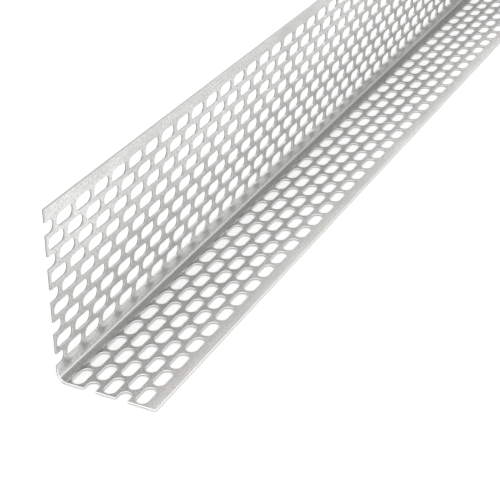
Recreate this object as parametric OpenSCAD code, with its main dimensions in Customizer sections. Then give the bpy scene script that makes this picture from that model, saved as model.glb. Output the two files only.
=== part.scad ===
// Perforated ventilation angle: a length of thin aluminium sheet, punched all over with staggered
// long holes, cut off square across the pattern and folded once to a right angle.
// Millimetres, +Z up, the length along X. The short leg lies on the floor and the tall leg stands
// on the +Y side. The origin is the middle of the footprint, on the floor.

/* [Stock] */
// Whole pitches of the perforation in the cut length
length_pitches = 56; // [10:1:78]
// Overall width of the leg on the floor, to the outer face of the fold
floor_leg = 30.7; // [29:0.1:40]
// Overall height of the standing leg, from the outer face of the fold
tall_leg = 52.9; // [52:0.1:65]
// Thickness of the sheet
sheet_t = 0.6; // [0.5:0.1:0.8]
// Radius on the inside of the fold, which always ends before the first holes of the floor leg
fold_r = 2.7; // [1:0.1:2.7]

/* [Perforation] */
// End to end length of one hole, which runs along the stock
slot_len = 7.8; // [6:0.1:8.2]
// Width of one hole, across the stock
slot_w = 3.8; // [3:0.1:4]
// Distance between neighbouring holes in a row
slot_pitch = 9; // [9:0.1:10]
// Distance between neighbouring rows, each set half a pitch along from the next
row_pitch = 5; // [4.8:0.1:5]
// Rows of holes in the leg on the floor
floor_rows = 5; // [1:1:5]
// Rows of holes in the standing leg
tall_rows = 9; // [1:1:9]
// First row of the floor leg, from the outer face of the fold
floor_first = 5.3; // [5:0.1:6]
// First row of the standing leg, above the floor
tall_first = 7.1; // [7:0.1:9]

/* [Hidden] */
// Sides of a full circle; each one comes out as a true arc
$fn = 32;
// The cut goes half a pitch beyond the middle of the last whole hole
stock_len = length_pitches * slot_pitch;
// Edge of the floor leg's first holes, from the outer face of the fold
holes_from = floor_first - slot_w / 2;
// Inside radius as it is made, with at least 0.1 mm of flat sheet before those holes
inside_r = min(fold_r, holes_from - sheet_t - 0.1);
// Where both flat legs begin, from the outer face of the other leg
flat_from = inside_r + sheet_t;
// Outer face of the standing leg
back_y = floor_leg / 2;
// Straight part of one hole between its two round ends
slot_straight = slot_len - slot_w;

// One long hole, centred, with round ends
module slot() {
    square([slot_straight, slot_w], center = true);
    translate([-slot_straight / 2, 0])
        circle(d = slot_w);
    translate([slot_straight / 2, 0])
        circle(d = slot_w);
}

// A row in which every hole is whole, with a thin web left at each cut end
module whole_row() {
    for (i = [0.5 : length_pitches - 0.5])
        translate([i * slot_pitch, 0])
            slot();
}

// The row beside it, half a pitch along: the cut goes through its end holes and leaves notches
module notched_row() {
    for (i = [0 : length_pitches])
        translate([i * slot_pitch, 0])
            slot();
}

// A flat leg with its rows of holes, drawn from the cut end and from the outer face of the fold
module flat_leg(width, rows, first, starts_notched) {
    linear_extrude(sheet_t)
        difference() {
            translate([0, flat_from])
                square([stock_len, width - flat_from]);
            for (r = [0 : rows - 1])
                translate([0, first + r * row_pitch])
                    if ((r % 2 == 0) == starts_notched)
                        notched_row();
                    else
                        whole_row();
        }
}

// The unpunched strip that is folded: a quarter of a tube between the two legs
module fold() {
    translate([0, -flat_from, flat_from])
        rotate([90, 0, 90])
            linear_extrude(stock_len)
                intersection() {
                    difference() {
                        circle(r = flat_from);
                        circle(r = inside_r);
                    }
                    translate([0, -flat_from])
                        square(flat_from);
                }
}

// The whole piece, one sheet of metal
module perforated_angle() {
    color([0.68, 0.68, 0.66])
        translate([-stock_len / 2, back_y, 0]) {
            mirror([0, 1, 0])
                flat_leg(floor_leg, floor_rows, floor_first, starts_notched = false);
            rotate([90, 0, 0])
                flat_leg(tall_leg, tall_rows, tall_first, starts_notched = true);
            fold();
        }
}

perforated_angle();
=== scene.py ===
import bmesh
import bpy
from math import radians
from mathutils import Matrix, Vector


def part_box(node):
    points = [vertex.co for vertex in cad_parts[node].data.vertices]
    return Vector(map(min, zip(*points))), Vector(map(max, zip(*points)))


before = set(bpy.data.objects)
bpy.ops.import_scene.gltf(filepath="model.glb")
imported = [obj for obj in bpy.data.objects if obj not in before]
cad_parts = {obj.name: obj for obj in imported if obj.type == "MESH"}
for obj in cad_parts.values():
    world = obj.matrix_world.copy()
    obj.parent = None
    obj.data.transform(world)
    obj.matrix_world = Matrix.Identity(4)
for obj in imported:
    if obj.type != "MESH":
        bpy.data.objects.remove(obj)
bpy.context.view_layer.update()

# The camera stands before the cut end, to the open side of the angle and well above it, and looks
# down along the length with a long lens, so that the far end runs out of the picture.
near_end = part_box("perforated_angle")[0].x
camera = bpy.data.objects.new("camera", bpy.data.cameras.new("camera"))
camera.location = (near_end - 0.25670, -0.17359, 0.22312)
camera.rotation_euler = (radians(59.8886), radians(0.2634), radians(-63.2475))
camera.data.sensor_width = 36
camera.data.lens = 102.194
camera.data.clip_start = 0.01
bpy.context.scene.collection.objects.link(camera)
bpy.context.scene.camera = camera

# The perforated angle: one strip of aluminium sheet as it leaves the mill, punched and then folded.
# Both faces keep the satin look of the rolls, with faint lines along the length. Each punched or
# sheared edge shows two bands: bright where the tool cut, dull and rough where the metal tore.
sheet_t = 0.6
fold_r = 2.7
middle_r = fold_r + sheet_t / 2
flat_from = fold_r + sheet_t


def linear(hex_colour):
    """The linear colour, with alpha, of an sRGB hex value such as "#C8C8C4"."""
    values = [int(hex_colour[i : i + 2], 16) / 255 for i in (1, 3, 5)]
    return [v / 12.92 if v <= 0.04045 else ((v + 0.055) / 1.055) ** 2.4 for v in values] + [1]


def add(tree, kind, inputs=(), **settings):
    """Adds a node with its settings. An input takes a value or the output of another node."""
    new = tree.nodes.new(kind)
    for name, value in settings.items():
        setattr(new, name, value)
    for socket, value in dict(inputs).items():
        if isinstance(value, bpy.types.NodeSocket):
            tree.links.new(value, new.inputs[socket])
        else:
            new.inputs[socket].default_value = value
    return new


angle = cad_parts["perforated_angle"]
back_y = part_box("perforated_angle")[1].y * 1000

sheet = bpy.data.materials.new("mill_finish_rolled_aluminium")
sheet.use_nodes = True
tree = sheet.node_tree
tree.nodes.clear()

# Millimetres from the middle of the footprint
place = add(tree, "ShaderNodeTexCoord").outputs["Object"]
mm = add(tree, "ShaderNodeVectorMath", {0: place, "Scale": 1000}, operation="SCALE").outputs[0]
xyz = add(tree, "ShaderNodeSeparateXYZ", {0: mm}).outputs

# How far a point is inside the sheet, from its inner face to its outer one, round the fold too
past_y = add(
    tree, "ShaderNodeMath", {0: xyz["Y"], 1: back_y - flat_from}, operation="SUBTRACT",
).outputs[0]
below_z = add(tree, "ShaderNodeMath", {0: flat_from, 1: xyz["Z"]}, operation="SUBTRACT").outputs[0]
into_back = add(tree, "ShaderNodeMath", {0: past_y, 1: 0}, operation="MAXIMUM").outputs[0]
into_floor = add(tree, "ShaderNodeMath", {0: below_z, 1: 0}, operation="MAXIMUM").outputs[0]
from_axis = add(tree, "ShaderNodeCombineXYZ", {0: into_back, 1: into_floor}).outputs[0]
from_axis = add(tree, "ShaderNodeVectorMath", {0: from_axis}, operation="LENGTH").outputs["Value"]
depth = add(tree, "ShaderNodeMath", {0: from_axis, 1: fold_r}, operation="SUBTRACT").outputs[0]

# Where the point lay on the strip before it was folded, measured across the strip: 0 where the fold
# leaves the short leg, below that on the short leg, and 4.7 where the fold meets the tall leg
up_leg = add(tree, "ShaderNodeMath", {0: below_z, 1: 0}, operation="MINIMUM").outputs[0]
out_leg = add(tree, "ShaderNodeMath", {0: past_y, 1: 0}, operation="MINIMUM").outputs[0]
legs = add(tree, "ShaderNodeMath", {0: out_leg, 1: up_leg}, operation="SUBTRACT").outputs[0]
turned = add(tree, "ShaderNodeMath", {0: into_back, 1: into_floor}, operation="ARCTAN2").outputs[0]
across = add(
    tree, "ShaderNodeMath", {0: turned, 1: middle_r, 2: legs}, operation="MULTIPLY_ADD",
).outputs[0]
flat = add(tree, "ShaderNodeCombineXYZ", {0: xyz["X"], 1: across, 2: depth}).outputs[0]

# Lines of the rolls, 0.4 mm apart and some 40 mm long, drawn coarser than the real ones to show
lines_at = add(tree, "ShaderNodeMapping", {"Vector": flat, "Scale": (0.025, 2.5, 0)}).outputs[0]
lines = add(
    tree, "ShaderNodeTexNoise", {"Vector": lines_at, "Scale": 1, "Detail": 2, "Roughness": 0.6},
).outputs["Fac"]
# Soft clouds of rolling oil and oxide, 6 to 20 mm across
clouds_at = add(tree, "ShaderNodeMapping", {"Vector": flat, "Scale": (0.07, 0.12, 0)}).outputs[0]
clouds = add(
    tree, "ShaderNodeTexNoise", {"Vector": clouds_at, "Scale": 1, "Detail": 3},
).outputs["Fac"]
# Grain of the metal, 0.8 mm, about three times as coarse as the real one so that it shows
grain = add(
    tree, "ShaderNodeTexNoise", {"Vector": flat, "Scale": 1.3, "Detail": 2, "Roughness": 0.7},
).outputs["Fac"]
# A painted swell of light and shade every 85 mm along the length, where the sheet isn't quite flat
painted_swell = add(
    tree, "ShaderNodeMath", {0: xyz["X"], 1: 0.074, 2: 19.5}, operation="MULTIPLY_ADD",
).outputs[0]
painted_swell = add(tree, "ShaderNodeMath", {0: painted_swell}, operation="SINE").outputs[0]

# Faces of the sheet: clouds, lines, grain and the painted swell of light each shift the tone a
# little
tone = add(tree, "ShaderNodeMath", {0: clouds, 1: lines}, operation="ADD").outputs[0]
tone = add(tree, "ShaderNodeMath", {0: grain, 1: 2.5, 2: tone}, operation="MULTIPLY_ADD").outputs[0]
tone = add(
    tree, "ShaderNodeMath", {0: painted_swell, 1: 0.12, 2: tone}, operation="MULTIPLY_ADD",
).outputs[0]
tone = add(
    tree, "ShaderNodeMapRange",
    {"Value": tone, "From Min": 1.75, "From Max": 2.75, "To Min": 0, "To Max": 1},
).outputs[0]
face_colour = add(
    tree, "ShaderNodeMix",
    {"Factor": tone, "A": linear("#BFBEBB"), "B": linear("#E7E6E4")},
    data_type="RGBA",
)
face_rough = add(
    tree, "ShaderNodeMapRange",
    {"Value": tone, "From Min": 0, "From Max": 1, "To Min": 0.34, "To Max": 0.26},
).outputs[0]

# A thin line inside the fold is painted bright and given a low roughness: a painted highlight
line_at = 2.9
from_line = add(tree, "ShaderNodeMath", {0: across, 1: line_at}, operation="SUBTRACT").outputs[0]
from_line = add(tree, "ShaderNodeMath", {0: from_line}, operation="ABSOLUTE").outputs[0]
fold_highlight = add(
    tree, "ShaderNodeMapRange",
    {"Value": from_line, "From Min": 0.14, "From Max": 0.22, "To Min": 1, "To Max": 0},
).outputs[0]
inner = add(tree, "ShaderNodeMath", {0: depth, 1: 0.1}, operation="LESS_THAN").outputs[0]
fold_highlight = add(tree, "ShaderNodeMath", {0: fold_highlight, 1: inner}, operation="MULTIPLY").outputs[0]
face_colour = add(
    tree, "ShaderNodeMix",
    {"Factor": fold_highlight, "A": face_colour.outputs["Result"], "B": linear("#F6F6F4")},
    data_type="RGBA",
)
face_rough = add(
    tree, "ShaderNodeMix", {"Factor": fold_highlight, "A": face_rough, "B": 0.08},
).outputs["Result"]

# Above the line the tall leg is painted brighter up to its first holes: a painted reflection
painted_strip_light = add(
    tree, "ShaderNodeMapRange",
    {"Value": across, "From Min": 5.6, "From Max": 7, "To Min": 0.5, "To Max": 0},
).outputs[0]
above = add(
    tree, "ShaderNodeMapRange",
    {"Value": across, "From Min": 4.1, "From Max": 4.7, "To Min": 0, "To Max": 1},
).outputs[0]
painted_strip_light = add(tree, "ShaderNodeMath", {0: painted_strip_light, 1: above}, operation="MULTIPLY").outputs[0]
painted_strip_light = add(tree, "ShaderNodeMath", {0: painted_strip_light, 1: inner}, operation="MULTIPLY").outputs[0]
face_colour = add(
    tree, "ShaderNodeMix",
    {"Factor": painted_strip_light, "A": face_colour.outputs["Result"], "B": linear("#F8F8F6")},
    data_type="RGBA",
)

# Along the foot of the fold the short leg is painted darker: a band of painted shade in the crease
band_at = 0.2
off_band = add(tree, "ShaderNodeMath", {0: across, 1: band_at}, operation="SUBTRACT").outputs[0]
off_band = add(tree, "ShaderNodeMath", {0: off_band}, operation="ABSOLUTE").outputs[0]
fold_shade = add(
    tree, "ShaderNodeMapRange",
    {"Value": off_band, "From Min": 0.3, "From Max": 0.9, "To Min": 1, "To Max": 0},
).outputs[0]
fold_shade = add(tree, "ShaderNodeMath", {0: fold_shade, 1: inner}, operation="MULTIPLY").outputs[0]
face_colour = add(
    tree, "ShaderNodeMix",
    {"Factor": fold_shade, "A": face_colour.outputs["Result"], "B": linear("#A8A8A5")},
    data_type="RGBA",
)

# The cut edges: bright where the tool sheared them, dark and rough for the last third, towards the
# outer face, where the metal tore. The tear is painted paler on the short leg, as painted light
# from the white floor its edges face.
torn_from = 0.4
torn = add(
    tree, "ShaderNodeMapRange",
    {"Value": depth, "From Min": torn_from, "From Max": torn_from + 0.04, "To Min": 0, "To Max": 1},
).outputs[0]
# The tear's tone runs from pale on the short leg, painted light from the floor, to dark on the tall
# leg
torn_colour_and_light = add(
    tree, "ShaderNodeMapRange",
    {"Value": across, "From Min": 0, "From Max": 4, "To Min": 0, "To Max": 1},
).outputs[0]
torn_colour_and_light = add(
    tree, "ShaderNodeMix",
    {"Factor": torn_colour_and_light, "A": linear("#B4B4B2"), "B": linear("#767674")},
    data_type="RGBA",
)
edge_colour = add(
    tree, "ShaderNodeMix",
    {"Factor": torn, "A": linear("#F8F8F6"), "B": torn_colour_and_light.outputs["Result"]},
    data_type="RGBA",
)
edge_rough = add(
    tree, "ShaderNodeMapRange",
    {"Value": torn, "From Min": 0, "From Max": 1, "To Min": 0.3, "To Max": 0.6},
).outputs[0]
# A point more than 0.02 mm inside both faces is on a cut edge
inside = add(
    tree, "ShaderNodeMath", {0: depth, 1: sheet_t / 2, 2: sheet_t / 2 - 0.02}, operation="COMPARE",
).outputs[0]

colour = add(
    tree, "ShaderNodeMix",
    {"Factor": inside, "A": face_colour.outputs["Result"], "B": edge_colour.outputs["Result"]},
    data_type="RGBA",
)
rough = add(
    tree, "ShaderNodeMix", {"Factor": inside, "A": face_rough, "B": edge_rough},
).outputs["Result"]
# The lines and the grain are 0.02 mm deep
height = add(tree, "ShaderNodeMath", {0: grain, 1: lines}, operation="ADD").outputs[0]
bump = add(
    tree, "ShaderNodeBump", {"Height": height, "Strength": 0.25, "Distance": 0.00002},
).outputs[0]
shader = add(
    tree, "ShaderNodeBsdfPrincipled",
    {"Base Color": colour.outputs["Result"], "Metallic": 1, "Roughness": rough, "Normal": bump},
)
add(tree, "ShaderNodeOutputMaterial", {"Surface": shader.outputs[0]})
for slot in angle.material_slots:
    slot.material = sheet

# The floor is a wide sheet of white paper that runs past the picture on all sides, pale to the eye
# and in the metal. It keeps the thin soft shadow that the angle throws.
floor_mesh = bpy.data.meshes.new("floor")
floor = bpy.data.objects.new("floor", floor_mesh)
bpy.context.scene.collection.objects.link(floor)
bm = bmesh.new()
bmesh.ops.create_grid(bm, x_segments=1, y_segments=1, size=6)
bm.to_mesh(floor_mesh)
bm.free()

paper = bpy.data.materials.new("white_paper")
paper.use_nodes = True
tree = paper.node_tree
tree.nodes.clear()
ray = add(tree, "ShaderNodeLightPath").outputs
seen = add(
    tree, "ShaderNodeMath",
    {0: ray["Is Camera Ray"], 1: ray["Is Glossy Ray"]},
    operation="MAXIMUM",
).outputs[0]
seen = add(
    tree, "ShaderNodeMath", {0: seen, 1: ray["Is Transmission Ray"]}, operation="MAXIMUM",
).outputs[0]
# The thin soft shadow where the sheet almost touches the paper, and in its holes
clear = add(tree, "ShaderNodeAmbientOcclusion", {"Distance": 0.0008}, samples=8).outputs["AO"]
near = add(
    tree, "ShaderNodeMapRange",
    {"Value": clear, "From Min": 0.5, "From Max": 0.95, "To Min": 0.64, "To Max": 0.9},
).outputs[0]
# What the metal mirrors of the paper: pale before the angle, half as bright behind the tall leg and
# shaded inside the holes of the short leg. Its glow fades along the length.
at = add(tree, "ShaderNodeTexCoord").outputs["Object"]
at = add(tree, "ShaderNodeSeparateXYZ", {0: at}).outputs
mirrored = add(
    tree, "ShaderNodeMapRange",
    {"Value": at["Y"], "From Min": 0.016, "From Max": 0.02, "To Min": 0.9, "To Max": 0.45},
).outputs[0]
half_width = 0.0153
under = add(
    tree, "ShaderNodeMath", {0: at["Y"], 1: 0, 2: half_width}, operation="COMPARE",
).outputs[0]
past_cut = add(
    tree, "ShaderNodeMath", {0: at["X"], 1: near_end}, operation="GREATER_THAN",
).outputs[0]
under = add(tree, "ShaderNodeMath", {0: under, 1: past_cut}, operation="MULTIPLY").outputs[0]
shaded = add(
    tree, "ShaderNodeMapRange",
    {"Value": clear, "From Min": 0.5, "From Max": 0.95, "To Min": 0.45, "To Max": 0.9},
).outputs[0]
mirrored = add(
    tree, "ShaderNodeMix", {"Factor": under, "A": mirrored, "B": shaded},
).outputs["Result"]
pale = add(
    tree, "ShaderNodeMix", {"Factor": ray["Is Camera Ray"], "A": mirrored, "B": near},
).outputs["Result"]
lit = add(tree, "ShaderNodeBsdfDiffuse", {"Color": pale}).outputs[0]
fading = add(
    tree, "ShaderNodeMapRange",
    {"Value": at["X"], "From Min": -0.25, "From Max": 0.1, "To Min": 0.62, "To Max": 0.16},
).outputs[0]
glow = add(
    tree, "ShaderNodeMix", {"Factor": ray["Is Camera Ray"], "A": fading, "B": 0.4},
).outputs["Result"]
white = add(tree, "ShaderNodeEmission", {"Color": pale, "Strength": glow}).outputs[0]
both = add(tree, "ShaderNodeAddShader", {0: lit, 1: white}).outputs[0]
plain = add(tree, "ShaderNodeBsdfDiffuse", {"Color": (0.85, 0.85, 0.85, 1)}).outputs[0]
mixed = add(tree, "ShaderNodeMixShader", {0: seen, 1: plain, 2: both}).outputs[0]
add(tree, "ShaderNodeOutputMaterial", {"Surface": mixed})
floor_mesh.materials.append(paper)

# The light is a white sweep at table height all round, a grey room above it, a white screen on the
# open side of the angle, and one long soft box over the back of the tall leg. Together they light a
# pale surface at about its own colour.
world = bpy.data.worlds.new("studio")
world.use_nodes = True
tree = world.node_tree
tree.nodes.clear()
way = add(tree, "ShaderNodeTexCoord").outputs["Generated"]
way = add(tree, "ShaderNodeSeparateXYZ", {0: way}).outputs
# The grey room, darker towards the far end on the open side
room = add(
    tree, "ShaderNodeMapRange",
    {"Value": way["X"], "From Min": 0.66, "From Max": 0.82, "To Min": 0.46, "To Max": 0.3},
).outputs[0]
behind = add(tree, "ShaderNodeMath", {0: way["Y"], 1: 0}, operation="GREATER_THAN").outputs[0]
room = add(tree, "ShaderNodeMix", {"Factor": behind, "A": room, "B": 0.53}).outputs["Result"]
# The white sweep at table height, which rises higher before the cut end
height = add(
    tree, "ShaderNodeMapRange",
    {"Value": way["X"], "From Min": -0.6, "From Max": -0.8, "To Min": 0.1, "To Max": 0.3},
).outputs[0]
sweep = add(
    tree, "ShaderNodeMapRange",
    {"Value": way["Z"], "From Min": 0.03, "From Max": height, "To Min": 1, "To Max": room},
).outputs[0]
# The white screen stands up to 31 degrees on the open side and dims towards the far end. Its mirror
# image is the bright line of the fold.
front = add(tree, "ShaderNodeMath", {0: way["Y"], 1: -1}, operation="MULTIPLY").outputs[0]
front = add(tree, "ShaderNodeMath", {0: front, 1: 0.001}, operation="MAXIMUM").outputs[0]
slope = add(tree, "ShaderNodeMath", {0: way["Z"], 1: front}, operation="DIVIDE").outputs[0]
screen = add(
    tree, "ShaderNodeMapRange",
    {"Value": way["X"], "From Min": 0.66, "From Max": 0.9, "To Min": 0.9, "To Max": 0.38},
).outputs[0]
screen = add(
    tree, "ShaderNodeMapRange",
    {"Value": slope, "From Min": 0.6, "From Max": 0.85, "To Min": screen, "To Max": 0},
).outputs[0]
room = add(tree, "ShaderNodeMath", {0: sweep, 1: screen}, operation="MAXIMUM").outputs[0]
# What lights the piece is one plain level on all sides, and the room above is only looked at
ray = add(tree, "ShaderNodeLightPath").outputs
seen = add(
    tree, "ShaderNodeMath",
    {0: ray["Is Camera Ray"], 1: ray["Is Glossy Ray"]},
    operation="MAXIMUM",
).outputs[0]
seen = add(
    tree, "ShaderNodeMath", {0: seen, 1: ray["Is Transmission Ray"]}, operation="MAXIMUM",
).outputs[0]
strength = add(tree, "ShaderNodeMix", {"Factor": seen, "A": 0.8, "B": room}).outputs["Result"]
tent = add(tree, "ShaderNodeBackground", {"Color": (1, 1, 1, 1), "Strength": strength}).outputs[0]
add(tree, "ShaderNodeOutputWorld", {"Surface": tent})
bpy.context.scene.world = world

soft_box = bpy.data.lights.new("soft_box", "AREA")
soft_box.shape = "RECTANGLE"
soft_box.size = 2.7
soft_box.size_y = 0.27
soft_box.energy = 5.6
lamp = bpy.data.objects.new("soft_box", soft_box)
lamp.location = (1.75, 0.47, 1.11)
lamp.rotation_euler = (-radians(23), 0, 0)
bpy.context.scene.collection.objects.link(lamp)

bpy.context.scene.view_settings.view_transform = "Standard"
